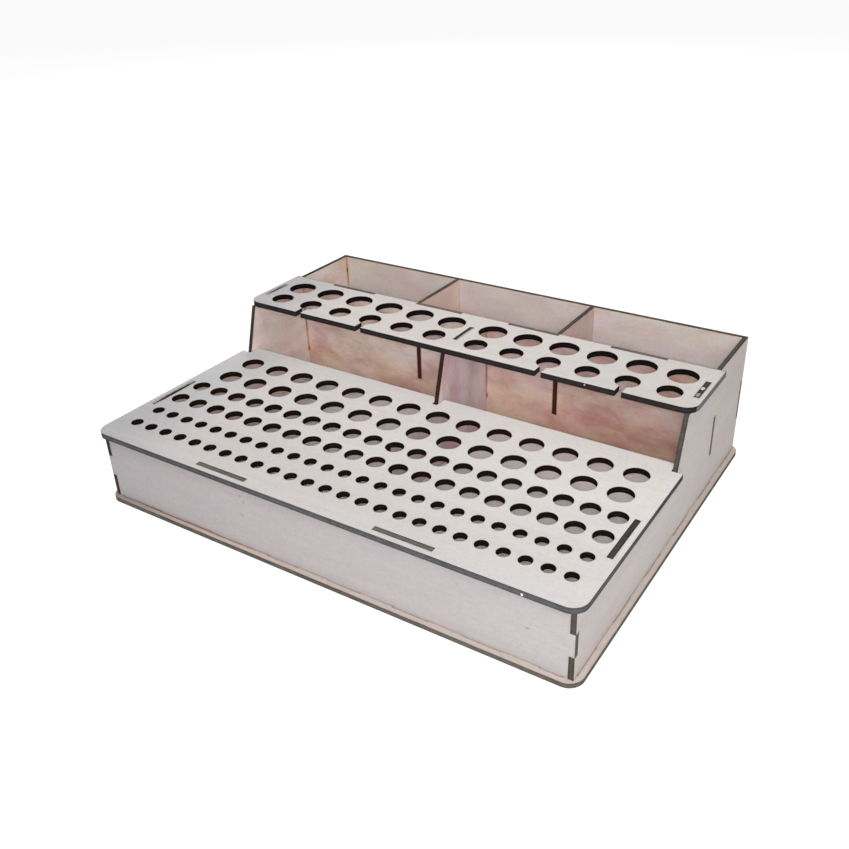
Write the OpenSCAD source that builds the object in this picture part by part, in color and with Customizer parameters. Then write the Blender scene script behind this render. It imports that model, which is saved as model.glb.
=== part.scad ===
// Hobby workstation organizer: a low box of thin plywood, slotted and tabbed together.
// A perforated deck holds small tools, a raised perforated shelf holds long ones, and
// three open bins stand behind the shelf. Every panel is drawn flat and then stood up.
// Millimetres. The origin is the middle of the base's underside; the front faces -Y.

/* [Box] */
// Thickness of the plywood that the base and the walls are cut from
ply_t = 4; // [3:0.5:6]
// Thickness of the plywood that the deck and the shelf are cut from
plate_t = 5; // [3:0.5:6]
// Width across the outer faces of the side panels
box_w = 430; // [400:5:480]
// Depth from the outer face of the front panel to that of the back panel
box_d = 335; // [325:5:380]
// Height of the bins' rim and of the shelf's top above the table
bin_h = 114; // [100:1:140]
// Height of the deck's top above the table
deck_h = 67; // [50:1:80]
// Width of the base and deck that shows beyond the walls
rim_w = 5; // [3:0.5:10]
// Radius of the rounded corners of base, deck and shelf
corner_r = 12; // [4:1:20]

/* [Deck] */
// Depth of the deck from its front edge to its rear edge
deck_d = 190; // [182:1:200]
// Diameter of the small tool holes
small_d = 10; // [6:0.5:12]
// Diameter of the medium tool holes
medium_d = 15; // [12:0.5:17]
// Diameter of the large tool holes
large_d = 20; // [16:0.5:22]
// Small holes in a row
small_count = 25; // [12:1:27]
// Medium holes in a row
medium_count = 20; // [10:1:20]
// Large holes in a row
large_count = 14; // [8:2:14]
// Distance from the box's side to the centre of a row's first small or medium hole
row_inset = 15; // [14:0.5:25]
// Distance from the box's side to the centre of a row's first large hole
large_row_inset = 24.5; // [20:0.5:30]
// Distance from the front panel's face to the first row of small holes
first_row_y = 23.3; // [16:0.1:26]
// Distance between the two rows of small holes
small_row_gap = 23.7; // [16:0.1:26]
// Distance from the second small row to the first medium row
small_medium_gap = 25.4; // [18:0.1:27]
// Distance between the two rows of medium holes
medium_row_gap = 25.7; // [20:0.1:27]
// Distance from the second medium row to the first large row
medium_large_gap = 27.3; // [22:0.1:29]
// Distance between the two rows of large holes
large_row_gap = 29.8; // [25:0.1:31]

/* [Shelf] */
// Depth of the shelf from its front edge to the bins
shelf_d = 74; // [70:1:84]
// Width of the shelf that shows beyond the side panels
shelf_rim_w = 4; // [3:0.5:10]
// Diameter of the holes in the shelf's rear row
rear_hole_d = 25; // [18:0.5:27]
// Diameter of the holes in the shelf's front row
front_hole_d = 20; // [14:0.5:22]
// Holes of a shelf row on each side of the middle
half_count = 6; // [4:1:6]
// Distance between the two middle holes of a row
mid_hole_gap = 42; // [40:1:50]
// Distance from the box's side to the centre of a row's last hole
shelf_hole_inset = 22.6; // [22:0.1:30]
// Distance from the shelf's front edge to its front row
front_row_set = 19.4; // [18:0.1:23]
// Distance from the shelf's rear edge to its rear row
rear_row_set = 24.9; // [24:0.1:27]
// Width of the slots that open some front holes to the shelf's edge
keyhole_w = 5.5; // [2:0.5:6]

/* [Bins] */
// Clear depth of the bins
bin_d = 69; // [50:1:75]
// Clear width of the middle bin
middle_bin_w = 141; // [100:1:180]

/* [Risers] */
// Lean of the slanted front edges that carry the shelf, in degrees
riser_lean = 16.8; // [0:0.2:20]
// Distance from the shelf's front edge back to the top of the slanted edges
riser_set = 0; // [0:0.5:6]
// Depth of the centre gusset, from its front edge to the bins' front wall
gusset_d = 154; // [120:1:200]

/* [Joints] */
// Clearance on each side of a tab in its slot
fit_gap = 0.1; // [0.05:0.05:0.3]
// Clearance between a slanted edge and the deck's notch round it
notch_gap = 0.5; // [0.2:0.1:2]
// Length of the tabs that stand in the base, and of the gaps between them
base_tab_l = 29.33; // [24:0.1:34]
// Length of the tabs of the bins' front wall in the shelf, and of their gaps
wall_tab_l = 48.9; // [40:0.1:56]
// Length of the tabs that hold the deck down
deck_tab_l = 49; // [30:1:60]
// Distance from the middle to each tab of the front panel in the deck
deck_front_tab_x = 84; // [60:1:120]
// Distance from the front panel's face to the middle of a side panel's tab in the deck
deck_side_tab_y = 77.5; // [50:0.5:100]
// Length of the tabs that stand in the middle of the shelf and near its ends
shelf_tab_l = 29; // [20:1:34]
// Distance from the shelf's rear edge to the middle of those tabs
shelf_tab_set = 39.5; // [36:0.5:42]

/* [Hidden] */
// Holes of the shelf's front row that are open to the edge, counted from the middle
KEYHOLES = [2, 4];
// How far a cut runs past the sheet that it opens
over = 1;
$fn = 96;

// Heights: top of the base, underside of the deck, underside of the shelf
base_top = ply_t;
deck_z = deck_h - plate_t;
shelf_z = bin_h - plate_t;

// Outer and inner faces of the walls, from the middle of the box
side_out = box_w / 2;
side_in = side_out - ply_t;
front_out = -box_d / 2;
front_in = front_out + ply_t;
back_out = box_d / 2;
back_in = back_out - ply_t;

// Bins' front wall, and the edges of the shelf and the deck
wall_rear = back_in - bin_d;
wall_front = wall_rear - ply_t;
shelf_rear = wall_rear;
shelf_front = shelf_rear - shelf_d;
shelf_half = side_out + shelf_rim_w;
deck_half = side_out + rim_w;
deck_front = front_out - rim_w;
deck_rear = deck_front + deck_d;

// Slanted edges of the side panels and the gusset
riser_top = shelf_front + riser_set;
riser_foot = riser_top - (shelf_z - deck_z) * tan(riser_lean);
notch_y = riser_foot - notch_gap;

// Middle thirds of the upright joints: front corners, and from table to shelf behind
front_third = third_of(base_top, deck_z);
rear_third = third_of(0, shelf_z);

// Middle planes of the upright sheets that run front to back inside the box
divider_x = middle_bin_w / 2;
gusset_front = wall_front - gusset_d;
gusset_third = third_of(gusset_front, wall_front);
divider_third = third_of(wall_rear, back_in);

// Middle of the tabs in the shelf, from the shelf's rear edge, and in the deck
shelf_tab = span(shelf_rear - shelf_tab_set, shelf_tab_l);
deck_side_tab = span(front_out + deck_side_tab_y, deck_tab_l);
deck_front_tab = span(deck_front_tab_x, deck_tab_l);

// Rows of the deck: diameter, count, distance from the side, place from the front
row_1 = front_out + first_row_y;
row_2 = row_1 + small_row_gap;
row_3 = row_2 + small_medium_gap;
row_4 = row_3 + medium_row_gap;
row_5 = row_4 + medium_large_gap;
row_6 = row_5 + large_row_gap;
DECK_ROWS = [
    [small_d, small_count, row_inset, row_1],
    [small_d, small_count, row_inset, row_2],
    [medium_d, medium_count, row_inset, row_3],
    [medium_d, medium_count, row_inset, row_4],
    [large_d, large_count, large_row_inset, row_5],
    [large_d, large_count, large_row_inset, row_6],
];

// Rows of the shelf: diameter, place from the front
shelf_row_front = shelf_front + front_row_set;
shelf_row_rear = shelf_rear - rear_row_set;
shelf_pitch = (side_out - shelf_hole_inset - mid_hole_gap / 2) / (half_count - 1);

// Tabs along the base and along the shelf's rear edge, on one side of the middle
across_tabs = tab_row(side_in, base_tab_l);
along_tabs = tab_row(box_d / 2, base_tab_l);
wall_tabs = tab_row(side_in, wall_tab_l);

// Limits of a tab of a given length about its middle
function span(middle, length) = [middle - length / 2, middle + length / 2];

// Limits of the middle one of three equal parts
function third_of(low, high) = [(2 * low + high) / 3, (low + 2 * high) / 3];

// Tabs on one side of the middle of an edge: equal tabs and gaps, a gap in the middle,
// each at least half a tab long and ending a sheet's thickness before the edge's end
function tab_row(half, length) = [
    for (k = [0 : floor((half / length - 1) / 2)])
        [(2 * k + 0.5) * length, min((2 * k + 1.5) * length, half - ply_t)]
];

// A rectangle between two limits each way
module bar(x, y) {
    translate([x[0], y[0]])
        square([x[1] - x[0], y[1] - y[0]]);
}

// The same rectangle on both sides of the middle
module bars(x, y) {
    bar(x, y);
    bar([-x[1], -x[0]], y);
}

// A slot for a tab, wider than it by the clearance all round
module slot(x, y) {
    bar([x[0] - fit_gap, x[1] + fit_gap], [y[0] - fit_gap, y[1] + fit_gap]);
}

module slots(x, y) {
    slot(x, y);
    slot([-x[1], -x[0]], y);
}

// A flat plate with rounded front corners, and rounded or square rear ones
module rounded_plate(half, front, rear, rear_r) {
    inner = half - corner_r;
    bars([0, inner], [front, rear]);
    bars([inner, half], [front + corner_r, rear - rear_r]);
    for (side = [-1, 1]) {
        translate([side * inner, front + corner_r])
            circle(corner_r);
        if (rear_r > 0)
            translate([side * inner, rear - rear_r])
                circle(rear_r);
    }
}

// A sheet lying flat with its underside at a height
module lay(z, thickness) {
    translate([0, 0, z])
        linear_extrude(thickness)
            children();
}

// A sheet drawn as seen from the front, stood across the box behind a plane
module stand_across(y) {
    translate([0, y + ply_t, 0])
        rotate([90, 0, 0])
            linear_extrude(ply_t)
                children();
}

// A sheet drawn as seen from the right, stood front to back beside a plane
module stand_along(x) {
    translate([x, 0, 0])
        rotate([90, 0, 90])
            linear_extrude(ply_t)
                children();
}

// A row of round holes, evenly spaced about the middle
module hole_row(diameter, count, inset, y) {
    reach = side_out - inset;
    pitch = 2 * reach / (count - 1);
    for (k = [0 : count - 1])
        translate([k * pitch - reach, y])
            circle(d = diameter);
}

// A row of the shelf's holes, with a wider space in the middle for the gusset's tab
module shelf_hole_row(diameter, y) {
    for (side = [-1, 1], k = [0 : half_count - 1])
        translate([side * (mid_hole_gap / 2 + k * shelf_pitch), y])
            circle(d = diameter);
}

// The outline shared by the risers: the slanted front edge, from the deck to the shelf
module riser(front, rear) {
    polygon([
        [front, base_top],
        [rear, base_top],
        [rear, shelf_z],
        [riser_top, shelf_z],
        [riser_foot, deck_z],
        [front, deck_z],
    ]);
}

module base_panel() {
    color("#dcc9b4") lay(0, ply_t) difference() {
        rounded_plate(deck_half, deck_front, back_out + rim_w, corner_r);
        for (tab = across_tabs) {
            slots(tab, [front_out, front_in]);
            slots(tab, [wall_front, wall_rear]);
            slots(tab, [back_in, back_out]);
        }
        for (tab = along_tabs, side = [-1, 1])
            slots([side_in, side_out], side > 0 ? tab : [-tab[1], -tab[0]]);
        slot([-ply_t / 2, ply_t / 2], gusset_third);
        slots([divider_x, divider_x + ply_t], divider_third);
    }
}

module front_panel() {
    color("#c9c1c3") stand_across(front_out) {
        bar([-side_in, side_in], [base_top, deck_z]);
        bar([-side_out, side_out], front_third);
        for (tab = across_tabs)
            bars(tab, [0, base_top]);
        bars(deck_front_tab, [deck_z, deck_h]);
    }
}

// One side panel: low beside the deck, slanted up to the shelf, high beside the bins
module side_outline() {
    difference() {
        union() {
            riser(front_out, back_out);
            bar([shelf_rear, back_out], [shelf_z, bin_h]);
            bar(shelf_tab, [shelf_z, bin_h]);
            bar(deck_side_tab, [deck_z, deck_h]);
            for (tab = along_tabs)
                bars(tab, [0, base_top]);
        }
        bar([front_out - over, front_in], [front_third[0] - fit_gap, front_third[1] + fit_gap]);
        bar([back_in, back_out + over], [rear_third[0] - fit_gap, rear_third[1] + fit_gap]);
        slot([wall_front, wall_rear], rear_third);
    }
}

module left_side_panel() {
    color("#c6bdbd") stand_along(-side_out) side_outline();
}

module right_side_panel() {
    color("#c6bdbd") stand_along(side_in) side_outline();
}

module back_panel() {
    color("#cdb9ae") stand_across(back_in) difference() {
        union() {
            bar([-side_in, side_in], [base_top, bin_h]);
            bar([-side_out, side_out], rear_third);
            for (tab = across_tabs)
                bars(tab, [0, base_top]);
        }
        slots([divider_x, divider_x + ply_t], rear_third);
    }
}

// The wall between the bins and the tools, with tabs in the shelf, the sides and the base
module bin_front_wall() {
    color("#cba993") stand_across(wall_front) difference() {
        union() {
            bar([-side_in, side_in], [base_top, shelf_z]);
            bar([-side_out, side_out], rear_third);
            for (tab = across_tabs)
                bars(tab, [0, base_top]);
            for (tab = wall_tabs)
                bars(tab, [shelf_z, bin_h]);
        }
        slot([-ply_t / 2, ply_t / 2], rear_third);
        slots([divider_x, divider_x + ply_t], rear_third);
    }
}

// A wall between two bins, with a tab in the wall before it, the back and the base
module divider(x) {
    color("#cba993") stand_along(x) {
        bar([wall_rear, back_in], [base_top, bin_h]);
        bar([wall_front, back_out], rear_third);
        bar(divider_third, [0, base_top]);
    }
}

module left_divider() {
    divider(-divider_x - ply_t);
}

module right_divider() {
    divider(divider_x);
}

// The upright that carries the middle of the deck and of the shelf
module centre_gusset() {
    color("#c7b2a8") stand_along(-ply_t / 2) {
        riser(gusset_front, wall_front);
        bar([wall_front, wall_rear], rear_third);
        bar(shelf_tab, [shelf_z, bin_h]);
        bar(gusset_third, [0, base_top]);
    }
}

module tool_deck() {
    color("#e4ddd6") lay(deck_z, plate_t) difference() {
        rounded_plate(deck_half, deck_front, deck_rear, 0);
        for (row = DECK_ROWS)
            hole_row(row[0], row[1], row[2], row[3]);
        slots(deck_front_tab, [front_out, front_in]);
        slots([side_in, side_out], deck_side_tab);
        bars([side_in - fit_gap, deck_half + over], [notch_y, deck_rear + over]);
        bar([-ply_t / 2 - fit_gap, ply_t / 2 + fit_gap], [notch_y, deck_rear + over]);
    }
}

module tool_shelf() {
    color("#e4ddd6") lay(shelf_z, plate_t) difference() {
        rounded_plate(shelf_half, shelf_front, shelf_rear, 0);
        shelf_hole_row(rear_hole_d, shelf_row_rear);
        shelf_hole_row(front_hole_d, shelf_row_front);
        for (k = KEYHOLES) {
            middle = mid_hole_gap / 2 + k * shelf_pitch;
            bars(span(middle, keyhole_w), [shelf_front - over, shelf_row_front]);
        }
        slot([-ply_t / 2, ply_t / 2], shelf_tab);
        slots([side_in, side_out], shelf_tab);
        for (tab = wall_tabs)
            bars([tab[0] - fit_gap, tab[1] + fit_gap], [wall_front - fit_gap, shelf_rear + over]);
    }
}

base_panel();
front_panel();
left_side_panel();
right_side_panel();
back_panel();
bin_front_wall();
left_divider();
right_divider();
centre_gusset();
tool_deck();
tool_shelf();
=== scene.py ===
from math import radians

import bpy
from mathutils import Matrix, Vector


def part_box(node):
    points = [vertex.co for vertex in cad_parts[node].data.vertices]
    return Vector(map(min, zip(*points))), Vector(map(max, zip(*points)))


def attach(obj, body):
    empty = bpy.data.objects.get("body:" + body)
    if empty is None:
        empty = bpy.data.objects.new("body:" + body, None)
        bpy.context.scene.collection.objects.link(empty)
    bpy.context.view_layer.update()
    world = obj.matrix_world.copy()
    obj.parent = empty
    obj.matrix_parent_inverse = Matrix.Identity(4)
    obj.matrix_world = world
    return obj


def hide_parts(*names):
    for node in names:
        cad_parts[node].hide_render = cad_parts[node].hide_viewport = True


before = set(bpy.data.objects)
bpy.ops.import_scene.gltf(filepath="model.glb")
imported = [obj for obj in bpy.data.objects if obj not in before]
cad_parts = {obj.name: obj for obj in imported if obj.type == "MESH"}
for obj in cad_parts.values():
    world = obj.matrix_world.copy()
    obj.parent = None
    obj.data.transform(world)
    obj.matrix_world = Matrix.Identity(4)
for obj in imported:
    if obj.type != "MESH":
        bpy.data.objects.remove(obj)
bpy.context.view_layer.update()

bpy.context.scene.view_settings.view_transform = "Standard"

# Camera: stands to the right of the front and above it, and looks down on the tool deck. It is
# turned, tilted and slightly rolled, as the camera was that the box was photographed with.
camera_place = (0.3893, -0.5819, 0.4505)
camera_turn, camera_tilt, camera_roll = radians(-32.6755), radians(-28.9791), radians(-1.41)
level_look = radians(90)
picture_px = 849
focal_px = 937.78
middle_px = (447.03, 411.04)
film_mm = 36
nearest = 0.01
bpy.ops.object.select_all(action="DESELECT")
bpy.ops.object.camera_add()
camera = bpy.context.object
camera.name = "camera"
camera.matrix_world = (Matrix.Translation(camera_place)
                       @ Matrix.Rotation(-camera_turn, 4, "Z")
                       @ Matrix.Rotation(level_look + camera_tilt, 4, "X")
                       @ Matrix.Rotation(camera_roll, 4, "Z"))
camera.data.sensor_width = film_mm
camera.data.lens = film_mm * focal_px / picture_px
camera.data.shift_x = (picture_px / 2 - middle_px[0]) / picture_px
camera.data.shift_y = (middle_px[1] - picture_px / 2) / picture_px
camera.data.clip_start = nearest
bpy.context.scene.camera = camera


# Light: a pale room all round, wide soft lamps overhead, beyond the right front corner and
# behind, and a small one at the camera, which shines through the holes onto the base.
def srgb(red, green, blue):
    """A colour given from 0 to 255, as the shader wants it."""
    return tuple(part / 3294.6 if part <= 10 else ((part / 255 + 0.055) / 1.055) ** 2.4
                 for part in (red, green, blue)) + (1,)


def plug(tree, socket, value):
    """Wires another node's output into a socket, or sets the socket's own value."""
    if isinstance(value, bpy.types.NodeSocket):
        tree.links.new(value, socket)
    else:
        socket.default_value = value


def maths(tree, operation, first, second=0.0, clamp=False):
    """The result of a Math node on one or two values."""
    node = tree.nodes.new("ShaderNodeMath")
    node.operation = operation
    node.use_clamp = clamp
    plug(tree, node.inputs[0], first)
    plug(tree, node.inputs[1], second)
    return node.outputs[0]


def seen_directly(tree):
    """1 where a surface is seen by eye, reflected or through glass, 0 where it only gives light."""
    path = tree.nodes.new("ShaderNodeLightPath")
    either = maths(tree, "MAXIMUM", path.outputs["Is Camera Ray"], path.outputs["Is Glossy Ray"])
    return maths(tree, "MAXIMUM", either, path.outputs["Is Transmission Ray"])


white = (1, 1, 1, 1)
room_strength, backdrop_strength = 0.36, 1
world = bpy.data.worlds.new("pale_room")
bpy.context.scene.world = world
world.use_nodes = True
room = world.node_tree
room.nodes.clear()
lit = room.nodes.new("ShaderNodeBackground")
lit.inputs["Color"].default_value = white
lit.inputs["Strength"].default_value = room_strength
backdrop = room.nodes.new("ShaderNodeBackground")
backdrop.inputs["Color"].default_value = white
backdrop.inputs["Strength"].default_value = backdrop_strength
either = room.nodes.new("ShaderNodeMixShader")
sky = room.nodes.new("ShaderNodeOutputWorld")
room.links.new(seen_directly(room), either.inputs[0])
room.links.new(lit.outputs[0], either.inputs[1])
room.links.new(backdrop.outputs[0], either.inputs[2])
room.links.new(either.outputs[0], sky.inputs["Surface"])

lamp_aim = Vector((0, 0, 0.05))
for name, place, width, watts in (("overhead_lamp", Vector((0.4, -0.5, 2.0)), 1.3, 14.5),
                                  ("corner_lamp", Vector((0.97, -1.62, 1.04)), 1.0, 14.5),
                                  ("back_lamp", Vector((-1.1, 1.9, 1.2)), 1.2, 14),
                                  ("camera_lamp", Vector(camera_place), 0.05, 2.1)):
    bpy.ops.object.light_add(type="AREA", location=place)
    lamp = bpy.context.object
    lamp.name = name
    lamp.data.shape = "DISK"
    lamp.data.size = width
    lamp.data.energy = watts
    lamp.rotation_euler = (lamp_aim - place).to_track_quat("-Z", "Y").to_euler()
    lamp.visible_camera = False

# Floor: a wide pale tabletop a hair under the box. It is painted, takes the box's soft shadow,
# and otherwise looks white, as the backdrop does.
floor_size, floor_drop = 16, 0.0002
floor_paint = (0.8, 0.8, 0.795, 1)
glow_strength, glow_share = 1.23, 0.7
bpy.ops.mesh.primitive_plane_add(size=floor_size, location=(0, 0, -floor_drop))
floor = bpy.context.object
floor.name = "floor"
bpy.ops.object.transform_apply(location=True, rotation=True, scale=True)
tabletop = bpy.data.materials.new("pale_tabletop")
tabletop.use_nodes = True
board = tabletop.node_tree
board.nodes.clear()
paint = board.nodes.new("ShaderNodeBsdfDiffuse")
paint.inputs["Color"].default_value = floor_paint
glow = board.nodes.new("ShaderNodeEmission")
glow.inputs["Color"].default_value = white
glow.inputs["Strength"].default_value = glow_strength
both = board.nodes.new("ShaderNodeMixShader")
done = board.nodes.new("ShaderNodeOutputMaterial")
board.links.new(maths(board, "MULTIPLY", seen_directly(board), glow_share), both.inputs[0])
board.links.new(paint.outputs[0], both.inputs[1])
board.links.new(glow.outputs[0], both.inputs[2])
board.links.new(both.outputs[0], done.inputs["Surface"])
floor.data.materials.append(tabletop)

# Base panel: the floor of the box, birch ply cut by laser with rounded corners. A row of
# slots takes the tabs of every wall. Its front rim is browned on the left, partly by the smoke
# of the cuts and partly as painted shade at the foot of the front panel.
ply = 0.004
x_axis, y_axis, z_axis = 0, 1, 2
along, across, up = Vector((1, 0, 0)), Vector((0, 1, 0)), Vector((0, 0, 1))


def let_go(panel):
    """Takes every vertex, edge and face of a panel out of the selection, in object mode."""
    for part in (panel.data.vertices, panel.data.edges, panel.data.polygons):
        part.foreach_set("select", [False] * len(part))


def sheet(node, through, smoke_ring, arris=0.0002, groove=0.00006):
    """A panel as the laser leaves it: a merged copy of the CAD panel with a ring of faces along
    every cut for the smoke stain, softened arrises, and two fine grooves round its cut edges,
    where the glue lines of the three plies lie. through is the axis across the sheet."""
    weld, flat_enough, glue_lines = 0.00001, 0.99, (-0.19, 0.19)
    bpy.ops.object.select_all(action="DESELECT")
    panel = bpy.data.objects.new(node + "_ply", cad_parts[node].data.copy())
    bpy.context.scene.collection.objects.link(panel)
    panel.data.materials.clear()
    bpy.context.view_layer.objects.active = panel
    panel.select_set(True)
    low, high = (corner.dot(through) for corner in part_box(node))
    middle, thick = (low + high) / 2, high - low

    # The smoke ring: the sheet's two faces are inset, and all outside the inset is stained
    bpy.ops.object.mode_set(mode="EDIT")
    bpy.ops.mesh.select_mode(type="FACE")
    bpy.ops.mesh.select_all(action="SELECT")
    bpy.ops.mesh.remove_doubles(threshold=weld)
    bpy.ops.mesh.tris_convert_to_quads(face_threshold=radians(1), shape_threshold=radians(180))
    bpy.ops.object.mode_set(mode="OBJECT")
    for face in panel.data.polygons:
        face.select = abs(face.normal.dot(through)) > flat_enough
    bpy.ops.object.mode_set(mode="EDIT")
    bpy.ops.mesh.inset(thickness=smoke_ring, use_boundary=True, use_even_offset=True)
    bpy.ops.object.mode_set(mode="OBJECT")
    stain = panel.data.attributes.new("smoke", "FLOAT", "POINT")
    clean = {v for face in panel.data.polygons if face.select for v in face.vertices}
    stained = [0.0 if v.index in clean else 1.0 for v in panel.data.vertices]
    stain.data.foreach_set("value", stained)

    # The triangles between the rings are taken out and filled again, so none crosses a hole
    bpy.ops.object.mode_set(mode="EDIT")
    bpy.ops.mesh.delete(type="FACE")
    bpy.ops.mesh.select_mode(type="EDGE")
    bpy.ops.object.mode_set(mode="OBJECT")
    faces_on = {}
    for face in panel.data.polygons:
        for key in face.edge_keys:
            faces_on[key] = faces_on.get(key, 0) + 1
    for side in (1, -1):
        let_go(panel)
        for edge in panel.data.edges:
            heights = (panel.data.vertices[v].co.dot(through) - middle for v in edge.vertices)
            on_this_face = all(height * side > thick / 4 for height in heights)
            edge.select = faces_on.get(edge.key) == 1 and on_this_face
        bpy.ops.object.mode_set(mode="EDIT")
        bpy.ops.mesh.fill(use_beauty=True)
        bpy.ops.object.mode_set(mode="OBJECT")
    bpy.ops.object.mode_set(mode="EDIT")
    bpy.ops.mesh.select_all(action="SELECT")
    bpy.ops.mesh.normals_make_consistent(inside=False)

    # Glue lines: two cuts through the thickness, drawn in a hair
    for depth in glue_lines:
        bpy.ops.mesh.select_all(action="SELECT")
        bpy.ops.mesh.bisect(plane_co=through * (middle + depth * thick), plane_no=through)
        bpy.ops.transform.shrink_fatten(value=-groove)

    # Arrises: the edges that lie between a face of the sheet and a cut
    bpy.ops.object.mode_set(mode="OBJECT")
    flat = {}
    for face in panel.data.polygons:
        for key in face.edge_keys:
            flat.setdefault(key, []).append(abs(face.normal.dot(through)) > flat_enough)
    let_go(panel)
    for edge in panel.data.edges:
        edge.select = sorted(flat.get(edge.key, [])) == [False, True]
    bpy.ops.object.mode_set(mode="EDIT")
    bpy.ops.mesh.bevel(offset=arris, segments=1, affect="EDGES")
    bpy.ops.mesh.select_all(action="DESELECT")
    bpy.ops.object.mode_set(mode="OBJECT")
    return panel


def lay(panel, through, face, reverse, cut, zones=()):
    """Gives each side of a sheet its veneer and every cut its char, and smooths the round cuts. A
    zone is another char for the cuts in a box: (material, lowest corner, highest corner)."""
    flat_enough, round_below = 0.95, radians(30)
    on_face, on_reverse, on_cut, first_zone = range(4)
    for material in (face, reverse, cut, *(zone[0] for zone in zones)):
        panel.data.materials.append(material)
    for polygon in panel.data.polygons:
        lean = polygon.normal.dot(through)
        if lean > flat_enough:
            polygon.material_index = on_face
        elif lean < -flat_enough:
            polygon.material_index = on_reverse
        else:
            polygon.material_index = on_cut
        for number, (_, low, high) in enumerate(zones, first_zone):
            inside = all(a < c < b for a, c, b in zip(low, polygon.center, high))
            if polygon.material_index == on_cut and inside:
                polygon.material_index = number
    bpy.ops.object.select_all(action="DESELECT")
    bpy.context.view_layer.objects.active = panel
    panel.select_set(True)
    bpy.ops.object.shade_smooth_by_angle(angle=round_below)
    bpy.ops.object.select_all(action="DESELECT")


def mix(tree, factor, first, second, mode="MIX"):
    """Two colours mixed by a factor, which the Mix node keeps in its sockets 0, 6 and 7."""
    node = tree.nodes.new("ShaderNodeMix")
    node.data_type = "RGBA"
    node.blend_type = mode
    plug(tree, node.inputs[0], factor)
    plug(tree, node.inputs[6], first)
    plug(tree, node.inputs[7], second)
    return node.outputs[2]


def ramp(tree, value, *stops):
    """A colour ramp with the given (place, colour or brightness) stops."""
    node = tree.nodes.new("ShaderNodeValToRGB")
    while len(node.color_ramp.elements) < len(stops):
        node.color_ramp.elements.new(0.5)
    for element, (place, colour) in zip(node.color_ramp.elements, stops):
        element.position = place
        element.color = colour if isinstance(colour, tuple) else (colour, colour, colour, 1)
    plug(tree, node.inputs[0], value)
    return node.outputs[0]


def stretched(tree, scale=(1, 1, 1), place=(0, 0, 0)):
    """Object coordinates, stretched and moved by a Mapping node."""
    source = tree.nodes.new("ShaderNodeTexCoord")
    node = tree.nodes.new("ShaderNodeMapping")
    node.inputs["Scale"].default_value = scale
    node.inputs["Location"].default_value = place
    tree.links.new(source.outputs["Object"], node.inputs["Vector"])
    return node.outputs[0]


def noise(tree, vector, scale=1.0, detail=3.0, roughness=0.55, distortion=0.0, colour=False):
    """Cloudy noise on the given coordinates, as a value or as a colour."""
    node = tree.nodes.new("ShaderNodeTexNoise")
    plug(tree, node.inputs["Vector"], vector)
    node.inputs["Scale"].default_value = scale
    node.inputs["Detail"].default_value = detail
    node.inputs["Roughness"].default_value = roughness
    node.inputs["Distortion"].default_value = distortion
    return node.outputs[1 if colour else 0]


def shader(name):
    """A new material with a Principled shader; returns it, its tree and the shader."""
    material = bpy.data.materials.new(name)
    material.use_nodes = True
    return material, material.node_tree, material.node_tree.nodes["Principled BSDF"]


def bump(tree, principled, height, distance, strength):
    """Lets a pattern of heights, of the given distance in metres, catch the light."""
    node = tree.nodes.new("ShaderNodeBump")
    node.inputs["Distance"].default_value = distance
    node.inputs["Strength"].default_value = strength
    plug(tree, node.inputs["Height"], height)
    tree.links.new(node.outputs[0], principled.inputs["Normal"])


def wash(tree, colour, axis, clear_at, full_at, tint):
    """A broad tint over one end of a sheet: none up to clear_at along the axis, all of it from
    full_at on. With a pair of half sizes for the axis, the tint lies outside that rectangle."""
    parts = tree.nodes.new("ShaderNodeSeparateXYZ")
    tree.links.new(stretched(tree), parts.inputs[0])
    if isinstance(axis, tuple):
        shares = (maths(tree, "DIVIDE", parts.outputs[i], axis[i]) for i in (x_axis, y_axis))
        where = maths(tree, "MAXIMUM", *(maths(tree, "ABSOLUTE", share) for share in shares))
    else:
        where = parts.outputs[axis]
    reach = tree.nodes.new("ShaderNodeMapRange")
    reach.interpolation_type = "SMOOTHSTEP"
    tree.links.new(where, reach.inputs["Value"])
    reach.inputs["From Min"].default_value = clear_at
    reach.inputs["From Max"].default_value = full_at
    return mix(tree, reach.outputs[0], colour, tint, "MULTIPLY")


def vectors(tree, operation, first, second=(0, 0, 0)):
    """The result of a Vector Math node: a vector, or a single value for a length."""
    node = tree.nodes.new("ShaderNodeVectorMath")
    node.operation = operation
    plug(tree, node.inputs[0], first)
    plug(tree, node.inputs[1], second)
    return node.outputs["Value" if operation == "LENGTH" else "Vector"]


def round_about(tree, place, reach):
    """How far a point lies from a place, as a share of the reach along each axis, with a torn
    border."""
    border_scale, border_width = 320, 0.7
    apart = vectors(tree, "SUBTRACT", stretched(tree), place)
    far = vectors(tree, "LENGTH", vectors(tree, "DIVIDE", apart, reach))
    ragged = noise(tree, stretched(tree, place=place), border_scale, detail=2)
    torn = maths(tree, "SUBTRACT", ragged, 0.5)
    return maths(tree, "ADD", far, maths(tree, "MULTIPLY", torn, border_width))


def burn(tree, colour, place, reach, strength):
    """A burn mark or smudge: brown in its middle, orange round it."""
    brown = ramp(tree, round_about(tree, place, reach), (0.0, srgb(96, 58, 42)),
                 (0.3, srgb(160, 108, 72)), (0.6, srgb(226, 192, 156)), (1.0, 1.0))
    return mix(tree, strength, colour, brown, "MULTIPLY")


def chip(tree, colour, place, reach, bare):
    """A chipped spot in the soot, where bare wood shows."""
    spot = ramp(tree, round_about(tree, place, reach), (0.75, 1.0), (1.0, 0.0))
    return mix(tree, spot, colour, bare)


def darken(tree, colour, marks, dark_below, clear_above, darkest):
    """Darkens a colour where a pattern of marks is low, down to the darkest share of it."""
    shade = ramp(tree, marks, (dark_below, darkest), (clear_above, 1.0))
    return mix(tree, 1, colour, shade, "MULTIPLY")


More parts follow.
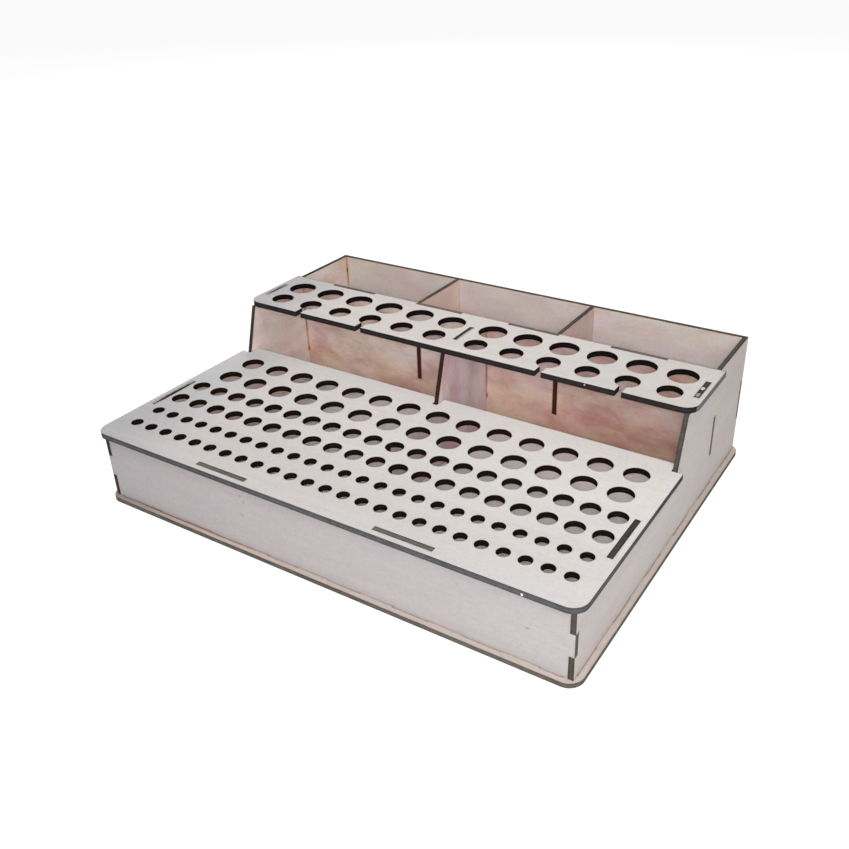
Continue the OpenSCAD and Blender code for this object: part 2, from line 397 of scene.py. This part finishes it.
def veneer(name, tone, blush, grain, seed, smoke, blotch=0.0, blot=white, washes=(), burns=()):
    """Bare sanded veneer. Its tone drifts to a blush, clouds tint the cheaper sides, and mottle,
    specks, the figure, faint fibres and a few pores run along the grain's axis. Smoke fades from
    the cuts. Washes are (axis, clear at, full at, tint), burns are (place, reach, strength)."""
    material, tree, principled = shader(name)
    shift = (seed * 3.1, seed * 1.7, seed * 2.3)

    # How long each mark of the wood is along the grain, and how wide across it
    drift_size, cloud_size, haze_size = (0.13, 0.07), (0.04, 0.021), (0.05, 0.028)
    speck_size, figure_size = (0.0032, 0.0018), (0.2, 0.011)
    fibre_size, pore_size = (0.03, 0.0011), (0.006, 0.0007)
    mottle_scale, billow_scale = 210, 60
    haze_share, mottle_share = 0.1, 0.06

    def run(length, width):
        """Coordinates drawn out along the grain."""
        scale = [1 / width] * 3
        scale[grain] = 1 / length
        return stretched(tree, scale, shift)

    drift = noise(tree, run(*drift_size), detail=4, roughness=0.6)
    colour = ramp(tree, drift, (0.36, tone), (0.64, blush))
    if blotch:
        clouds = noise(tree, run(*cloud_size), detail=4, roughness=0.6, distortion=0.15)
        cloud = maths(tree, "MULTIPLY", ramp(tree, clouds, (0.38, 0.0), (0.66, 1.0)), blotch)
        colour = mix(tree, cloud, colour, blot, "MULTIPLY")
        haze = noise(tree, run(*haze_size), detail=3, roughness=0.6, colour=True)
        colour = mix(tree, haze_share * blotch, colour, haze, "LINEAR_LIGHT")
    mottle = noise(tree, stretched(tree, place=shift), mottle_scale, detail=4, roughness=0.75,
                   colour=True)
    colour = mix(tree, mottle_share, colour, mottle, "LINEAR_LIGHT")
    specks = noise(tree, run(*speck_size), detail=2, roughness=0.7)
    colour = darken(tree, colour, specks, 0.3, 0.7, darkest=0.92)
    figure = noise(tree, run(*figure_size), detail=3, roughness=0.5, distortion=0.6)
    colour = darken(tree, colour, figure, 0.3, 0.7, darkest=0.965)
    fibres = noise(tree, run(*fibre_size), detail=3, roughness=0.6)
    colour = darken(tree, colour, fibres, 0.3, 0.68, darkest=0.955)
    pits = noise(tree, run(*pore_size), detail=2, roughness=0.5)
    pores = ramp(tree, pits, (0.26, 0.0), (0.34, 1.0))
    colour = darken(tree, colour, pores, 0.0, 1.0, darkest=srgb(236, 229, 222))
    for axis, clear_at, full_at, tint in washes:
        colour = wash(tree, colour, axis, clear_at, full_at, tint)
    for place, reach, strength in burns:
        colour = burn(tree, colour, place, reach, strength)

    # Smoke: the stain that the sheet carries along its cuts, in billows
    stain = tree.nodes.new("ShaderNodeAttribute")
    stain.attribute_name = "smoke"
    puffs = noise(tree, stretched(tree, place=shift), billow_scale, detail=3)
    billow = ramp(tree, puffs, (0.3, 0.25), (0.7, 1.0))
    near = maths(tree, "POWER", stain.outputs["Fac"], 1.6)
    near = maths(tree, "MULTIPLY", near, billow)
    near = maths(tree, "MULTIPLY", near, smoke, clamp=True)
    brown = ramp(tree, near, (0.0, 1.0), (0.35, srgb(238, 222, 200)),
                 (0.7, srgb(176, 140, 108)), (1.0, srgb(84, 62, 50)))
    colour = mix(tree, 1, colour, brown, "MULTIPLY")
    tree.links.new(colour, principled.inputs["Base Color"])
    dullness = ramp(tree, figure, (0.3, 0.74), (0.7, 0.6))
    tree.links.new(dullness, principled.inputs["Roughness"])
    principled.inputs["Specular IOR Level"].default_value = 0.15
    fibre_height = maths(tree, "MULTIPLY", fibres, 0.6)
    pore_height = maths(tree, "MULTIPLY", pores, 0.4)
    height = maths(tree, "ADD", fibre_height, pore_height)
    bump(tree, principled, height, distance=0.00012, strength=0.6)
    return material


def char(name, dark, light, through, low, seed, chips=(), thick=ply):
    """An edge cut by laser: soot over three plies, the core a little paler than the two face
    plies, dark glue lines between them, and streaks along the cut. low is the sheet's lower face
    along the through axis, thick its thickness, and chips are (place, reach, bare colour)."""
    material, tree, principled = shader(name)
    streak_scale, patch_scale = (240, 240, 240), (26, 26, 26)
    ply_share, streak_share, patch_share = 0.4, 0.45, 0.35
    axis = max(range(3), key=lambda i: abs(through[i]))
    parts = tree.nodes.new("ShaderNodeSeparateXYZ")
    tree.links.new(stretched(tree), parts.inputs[0])
    depth = maths(tree, "DIVIDE", maths(tree, "SUBTRACT", parts.outputs[axis], low), thick)

    # Brightness from the lower face to the upper one: face ply, glue, core, glue, face ply
    plies = ramp(tree, depth, (0.0, 0.35), (0.06, 0.55), (0.27, 0.45), (0.31, 0.0), (0.35, 0.8),
                 (0.65, 0.7), (0.69, 0.0), (0.73, 0.5), (0.94, 0.5), (1.0, 0.3))
    streaks = noise(tree, stretched(tree, streak_scale, (seed, seed, seed)),
                    detail=4, roughness=0.65)
    patches = noise(tree, stretched(tree, patch_scale, (seed, 0, seed)),
                    detail=3, roughness=0.6)
    tone = maths(tree, "ADD", maths(tree, "MULTIPLY", plies, ply_share),
                 maths(tree, "MULTIPLY", streaks, streak_share))
    tone = maths(tree, "ADD", tone, maths(tree, "MULTIPLY", patches, patch_share))
    colour = ramp(tree, tone, (0.3, dark), (0.85, light))
    for place, reach, bare in chips:
        colour = chip(tree, colour, place, reach, bare)
    tree.links.new(colour, principled.inputs["Base Color"])
    dullness = ramp(tree, patches, (0.3, 0.92), (0.7, 0.74))
    tree.links.new(dullness, principled.inputs["Roughness"])
    principled.inputs["Specular IOR Level"].default_value = 0.06
    bump(tree, principled, tone, distance=0.0002, strength=0.7)
    return material


base_ring = 0.0016
rim_start = (0.213, 0.1655)
# Brown along the left half of the front rim: partly smoke, partly painted shade
browned_and_shaded_rim = ((-0.13, -0.1675, ply), (0.12, 0.0022, 0.002), 0.75)
base = sheet("base_panel", up, base_ring)
lay(base, up,
    # Painted light: the upper veneer is paler than the base's own tone, for light inside the box.
    # The first wash gives the rim outside the walls the plain tone. The second is painted shade
    # that greys the left end.
    veneer("base_upper_veneer", srgb(240, 237, 236), srgb(236, 235, 233),
           grain=x_axis, seed=1, smoke=0.8,
           washes=((rim_start, 1.0, 1.003, srgb(207, 198, 193)),
                   (x_axis, -0.11, -0.21, srgb(212, 214, 218))),
           burns=(browned_and_shaded_rim,)),
    veneer("base_lower_veneer", srgb(212, 204, 198), srgb(206, 202, 196),
           grain=x_axis, seed=2, smoke=0.6),
    char("base_cut_edge", srgb(52, 47, 44), srgb(112, 106, 101), up, low=0, seed=1))
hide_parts("base_panel")
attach(base, "root")

# Front panel: the low birch ply wall under the deck's front edge, its pale veneer outwards.
# Finger joints hold its ends to the sides, tabs stand in the base, and two come up through the
# deck. A knot of three specks and two scratches mark its face.
front_ring = 0.0024
front = sheet("front_panel", across, front_ring)
front_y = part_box("front_panel")[0].y
knot = (((-0.0656, front_y, 0.0517), (0.0016, 0.002, 0.0016), 0.4),
        ((-0.0627, front_y, 0.0468), (0.0018, 0.002, 0.0022), 0.35),
        ((-0.0667, front_y, 0.0342), (0.003, 0.002, 0.0028), 0.2))
scratches = (((0.181, front_y, 0.0332), (0.0022, 0.002, 0.0008), 0.6),
             ((0.1945, front_y, 0.0275), (0.0014, 0.002, 0.0008), 0.25))
lay(front, across,
    # Painted light: the inner veneer is paler, for light inside the box.
    veneer("front_inner_veneer", srgb(230, 220, 212), srgb(226, 217, 210),
           grain=x_axis, seed=3, smoke=0.8),
    veneer("front_outer_veneer", srgb(187, 180, 181), srgb(184, 179, 179),
           grain=x_axis, seed=4, smoke=0.35, blotch=0.15, blot=srgb(240, 238, 242),
           # Painted shade: the outer face greys towards its left end, where less light falls, and
           # darkens towards its top, in the shade under the deck's edge.
           washes=((x_axis, -0.08, -0.22, srgb(248, 250, 252)),
                   (z_axis, 0.045, 0.064, srgb(238, 236, 238))),
           burns=knot + scratches),
    char("front_cut_edge", srgb(56, 52, 50), srgb(112, 108, 106), across, low=front_y, seed=2))
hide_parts("front_panel")
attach(front, "root")

# Side panels: birch ply, low beside the deck, then a slanted edge up to the shelf, and high
# beside the bins. One pattern, cut twice and turned over for the other hand, so that the pale
# face is outside; tabs hold it in the base, the deck and the shelf, and finger joints at its ends.
side_ring = 0.0018
shelf_low, shelf_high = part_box("tool_shelf")
deck_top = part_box("tool_deck")[1].z
faint, strong = 0.55, 0.9
wall_smoke_z, wall_scorch_z = 0.075, 0.037
back_smoke_z, back_scorch_z = 0.095, 0.099
shelf_tab_y, deck_tab_y = 0.055, -0.09
deck_tab_front, deck_tab_rear = -0.13, -0.05
grey_blot = srgb(242, 238, 238)
for hand, node in ((-1, "left_side_panel"), (1, "right_side_panel")):
    side = sheet(node, along, side_ring)
    side_low, side_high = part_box(node)
    middle_x = (side_low.x + side_high.x) / 2
    inner_x = side_high.x if hand < 0 else side_low.x
    wall_corner = (inner_x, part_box("bin_front_wall")[0].y)
    back_corner = (inner_x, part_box("back_panel")[0].y)
    outer = veneer(node + "_outer_veneer", srgb(212, 204, 203), srgb(208, 202, 199),
                   grain=y_axis, seed=7 + hand, smoke=0.5, blotch=0.2, blot=grey_blot,
                   # Painted shade: the outer veneer darkens a little towards its rear end and its
                   # foot, where less light falls. It also darkens a little towards its front end.
                   washes=((y_axis, 0.03, 0.17, srgb(250, 247, 244)),
                           (y_axis, -0.02, -0.16, srgb(249, 247, 247)),
                           (z_axis, 0.02, 0.006, srgb(253, 249, 248))))
    inner = veneer(node + "_inner_veneer", srgb(244, 226, 219), srgb(238, 227, 221),
                   grain=y_axis, seed=10 + hand, smoke=0.7, blotch=0.9, blot=srgb(240, 224, 214),
                   burns=(((*wall_corner, wall_smoke_z), (0.003, 0.0026, 0.05), faint),
                          ((*wall_corner, wall_scorch_z), (0.003, 0.0022, 0.004), strong),
                          ((*back_corner, back_smoke_z), (0.003, 0.0024, 0.03), faint),
                          ((*back_corner, back_scorch_z), (0.003, 0.0018, 0.003), strong)))

    # The ends of the left side's tabs are bare with a sooty middle, of the right's sooty with
    # two bare spots
    if hand < 0:
        seed, edge_tones = 4, (srgb(22, 20, 19), srgb(70, 66, 63))
        tab_tones = (srgb(150, 146, 144), srgb(200, 196, 193))
        tab_spots = (((middle_x, shelf_tab_y, shelf_high.z), (0.0013, 0.017, 0.003),
                      srgb(34, 31, 30)),
                     ((middle_x + 0.0004, deck_tab_y, deck_top), (0.0018, 0.03, 0.003),
                      srgb(22, 20, 19)))
    else:
        seed, edge_tones = 6, (srgb(38, 35, 33), srgb(92, 87, 84))
        tab_tones = (srgb(34, 32, 31), srgb(70, 67, 65))
        tab_spots = (((middle_x - 0.0005, 0.0568, shelf_high.z), (0.0017, 0.0032, 0.002),
                      srgb(200, 196, 193)),
                     ((middle_x - 0.0003, 0.045, shelf_high.z), (0.0018, 0.0036, 0.002),
                      srgb(150, 141, 135)))
    cut = char(node + "_cut_edge", *edge_tones, along, low=side_low.x, seed=seed)
    tab_end = char(node + "_tab_end", *tab_tones, along, low=side_low.x, seed=seed,
                   chips=tab_spots)
    lay(side, along, outer if hand > 0 else inner, inner if hand > 0 else outer, cut,
        ((tab_end, (-1, shelf_low.y, shelf_high.z - ply / 4), (1, shelf_high.y, 1)),
         (tab_end, (-1, deck_tab_front, deck_top - ply / 4),
          (1, deck_tab_rear, deck_top + ply / 4))))
    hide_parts(node)
    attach(side, "root")

# Back panel: the rear wall of the bins, birch ply like the others. Finger joints hold its ends
# to the sides, tabs stand in the base, and a slot takes the tab of each divider.
back_ring = 0.0018
left_corner_x = -0.211
back = sheet("back_panel", across, back_ring)
back_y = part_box("back_panel")[0].y
lay(back, across,
    veneer("back_outer_veneer", srgb(206, 198, 196), srgb(200, 196, 191),
           grain=x_axis, seed=12, smoke=0.5, blotch=0.2, blot=grey_blot),
    veneer("back_inner_veneer", srgb(217, 206, 202), srgb(213, 206, 201),
           grain=x_axis, seed=13, smoke=0.7, blotch=0.7, blot=srgb(244, 232, 224),
           burns=(((left_corner_x, back_y, back_smoke_z), (0.0024, 0.003, 0.03), faint),
                  ((left_corner_x, back_y, back_scorch_z), (0.0018, 0.003, 0.003), strong))),
    char("back_cut_edge", srgb(34, 31, 30), srgb(88, 84, 81), across, low=back_y, seed=8))
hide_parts("back_panel")
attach(back, "root")

# Front wall of the bins: birch ply that also carries the shelf's rear edge on four tabs, with
# tabs in the sides and the base. Its tan side faces forward, browned by smoke at its foot, in
# the left corner and where the gusset meets it. That side is painted paler as painted light
# for the shade under the shelf, and darker towards its bottom and its right as painted shade.
wall_ring = 0.0018
gusset_corner_x, gusset_smoke = 0.002, 0.5
foot_scorch = 0.4
wall = sheet("bin_front_wall", across, wall_ring)
wall_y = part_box("bin_front_wall")[0].y
lay(wall, across,
    veneer("wall_rear_veneer", srgb(218, 200, 190), srgb(212, 198, 188),
           grain=x_axis, seed=15, smoke=0.7, blotch=0.6, blot=srgb(242, 228, 220)),
    # Painted light: the front veneer's tone is paler, for the shade under the shelf.
    veneer("wall_front_veneer", srgb(247, 228, 216), srgb(241, 228, 221),
           grain=x_axis, seed=16, smoke=0.8, blotch=0.95, blot=srgb(222, 194, 194),
           # Painted shade: darker towards its bottom, in the deck's shade, and towards its right,
           # against the lamps' stronger light there.
           washes=((z_axis, 0.064, 0.036, srgb(250, 236, 226)),
                   (x_axis, -0.12, 0.12, srgb(229, 219, 215))),
           burns=(((left_corner_x, wall_y, wall_smoke_z), (0.0026, 0.003, 0.05), faint),
                  ((left_corner_x, wall_y, wall_scorch_z), (0.0024, 0.003, 0.004), strong),
                  ((gusset_corner_x, wall_y, wall_smoke_z), (0.0026, 0.003, 0.05), gusset_smoke),
                  ((gusset_corner_x, wall_y, wall_scorch_z), (0.0024, 0.003, 0.004), strong),
                  ((-0.0725, wall_y, 0.036), (0.006, 0.003, 0.003), foot_scorch))),
    char("wall_cut_edge", srgb(58, 50, 46), srgb(128, 116, 108), across, low=wall_y, seed=9))
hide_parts("bin_front_wall")
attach(wall, "root")

# Dividers: the two ply walls between the three bins, tabbed into the walls before and behind
# them. The ends of their front tabs show in the wall as two dark brown marks.
divider_ring = 0.0018
tan_blot = srgb(240, 222, 212)
for seed, node, tone, blush in (
        (18, "left_divider", srgb(239, 215, 207), srgb(233, 214, 208)),
        (20, "right_divider", srgb(220, 196, 188), srgb(215, 195, 189))):
    divider = sheet(node, along, divider_ring)
    divider_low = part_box(node)[0]
    lay(divider, along,
        veneer(node + "_right_veneer", tone, blush,
               grain=y_axis, seed=seed, smoke=0.7, blotch=0.8, blot=tan_blot),
        veneer(node + "_left_veneer", tone, blush,
               grain=y_axis, seed=seed + 1, smoke=0.7, blotch=0.8, blot=tan_blot),
        char(node + "_cut_edge", srgb(42, 36, 34), srgb(92, 82, 78), along,
             low=divider_low.x, seed=seed),
        ((char(node + "_tab_end", srgb(52, 26, 22), srgb(78, 44, 38), along,
               low=divider_low.x, seed=seed),
          (-1, divider_low.y - ply, 0), (1, wall_y + ply / 4, 1)),))
    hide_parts(node)
    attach(divider, "root")

# Centre gusset: the ply upright under the middle of the deck and the shelf, with the same
# slanted edge as the sides and tabs in the base, the wall and the shelf. Its right face is a
# pinkish veneer with upright streaks.
gusset_ring = 0.0018
gusset = sheet("centre_gusset", along, gusset_ring)
gusset_low, gusset_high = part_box("centre_gusset")
bare_side = ((gusset_high.x, shelf_tab_y, shelf_high.z), (0.0012, 0.02, 0.003), srgb(188, 183, 179))
lay(gusset, along,
    veneer("gusset_right_veneer", srgb(227, 210, 209), srgb(221, 205, 206),
           grain=z_axis, seed=22, smoke=0.7, blotch=1.0, blot=srgb(238, 218, 223),
           burns=(((gusset_high.x, wall_y, wall_smoke_z), (0.003, 0.0024, 0.05), gusset_smoke),)),
    veneer("gusset_left_veneer", srgb(226, 208, 199), srgb(220, 206, 198),
           grain=y_axis, seed=23, smoke=0.7, blotch=0.8, blot=tan_blot),
    char("gusset_cut_edge", srgb(26, 15, 15), srgb(58, 41, 40), along,
         low=gusset_low.x, seed=22),
    ((char("gusset_tab_end", srgb(40, 38, 37), srgb(72, 68, 66), along,
           low=gusset_low.x, seed=22, chips=(bare_side,)),
      (-1, shelf_low.y, shelf_high.z - ply / 4), (1, shelf_high.y, 1)),))
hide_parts("centre_gusset")
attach(gusset, "root")

# Tool deck: the low perforated plate, 118 round holes in six rows, cut from ply a little thicker
# than the walls' with its pale side up. It lies on the walls, whose tabs come up through its
# slots. Every hole's wall is painted near black, partly the laser's soot and partly painted
# shade inside the hole.
deck_ring = 0.0016
deck = sheet("tool_deck", up, deck_ring)
deck_low, deck_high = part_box("tool_deck")
plate = deck_high.z - deck_low.z
deck_margin = Vector((0.0042, 0.0042, 0))
pale_blot = srgb(246, 243, 244)
pale_nick = ((0.179, deck_low.y, 0.0637), (0.0009, 0.002, 0.0012), srgb(236, 232, 228))
lay(deck, up,
    veneer("deck_upper_veneer", srgb(228, 223, 219), srgb(225, 221, 218),
           grain=x_axis, seed=25, smoke=0.25, blotch=0.2, blot=pale_blot,
           # Painted shade greys the top towards its left end. The top is also darker towards its
           # front, which paints light on its rear, where the shelf shades it.
           washes=((x_axis, -0.13, -0.21, srgb(232, 235, 239)),
                   (y_axis, 0.01, -0.16, srgb(227, 226, 228)))),
    # Painted light: the lower veneer is paler, for light inside the box.
    veneer("deck_lower_veneer", srgb(234, 226, 219), srgb(230, 223, 217),
           grain=x_axis, seed=26, smoke=0.8),
    char("deck_cut_edge", srgb(44, 44, 46), srgb(99, 99, 102), up,
         low=deck_low.z, seed=25, chips=(pale_nick,), thick=plate),
    # Near black: partly the laser's soot, partly painted shade inside the holes
    ((char("deck_hole_wall", srgb(9, 5, 4), srgb(34, 22, 18), up,
           low=deck_low.z, seed=27, thick=plate),
      (*(deck_low + deck_margin).xy, 0), (*(deck_high - deck_margin).xy, 1)),))
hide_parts("tool_deck")
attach(deck, "root")

# Tool shelf: the raised perforated plate, two rows of twelve holes in the same ply as the deck.
# Four of the front holes open to the edge by a narrow slot. It lies on the sides and the gusset,
# whose tabs come up through its slots, and on the wall of the bins.
shelf_ring = 0.0018
shelf = sheet("tool_shelf", up, shelf_ring)
grey_nick = ((0.1305, shelf_low.y, 0.1126), (0.0008, 0.002, 0.0009), srgb(180, 174, 169))
lay(shelf, up,
    veneer("shelf_upper_veneer", srgb(215, 208, 202), srgb(212, 207, 203),
           grain=x_axis, seed=28, smoke=0.3, blotch=0.2, blot=pale_blot,
           # Painted shade: the top greys towards its left end and darkens a little towards its
           # right end, against the lamps' stronger light there. A tan band of painted shade lies
           # along its rear edge, where it meets the wall.
           washes=((x_axis, -0.13, -0.21, srgb(226, 229, 236)),
                   (x_axis, 0.06, 0.2, srgb(245, 247, 248)),
                   (y_axis, 0.092, 0.0945, srgb(196, 172, 158)))),
    # Painted light: the lower veneer is paler, for light under the shelf.
    veneer("shelf_lower_veneer", srgb(234, 222, 214), srgb(230, 219, 212),
           grain=x_axis, seed=29, smoke=0.8),
    char("shelf_cut_edge", srgb(16, 15, 15), srgb(50, 48, 47), up,
         low=shelf_low.z, seed=28, chips=(grey_nick,), thick=plate),
    ((char("shelf_end_edge", srgb(74, 72, 72), srgb(122, 119, 117), up,
           low=shelf_low.z, seed=30, thick=plate),
      (shelf_high.x - plate / 4, -1, 0), (1, 1, 1)),
     # Near black: partly the laser's soot, partly painted shade inside the holes
     (char("shelf_hole_wall", srgb(4, 3, 3), srgb(22, 18, 16), up,
           low=shelf_low.z, seed=31, thick=plate),
      (shelf_low.x + plate, shelf_low.y + plate, 0),
      (shelf_high.x - plate, shelf_high.y - plate, 1))))
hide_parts("tool_shelf")
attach(shelf, "root")
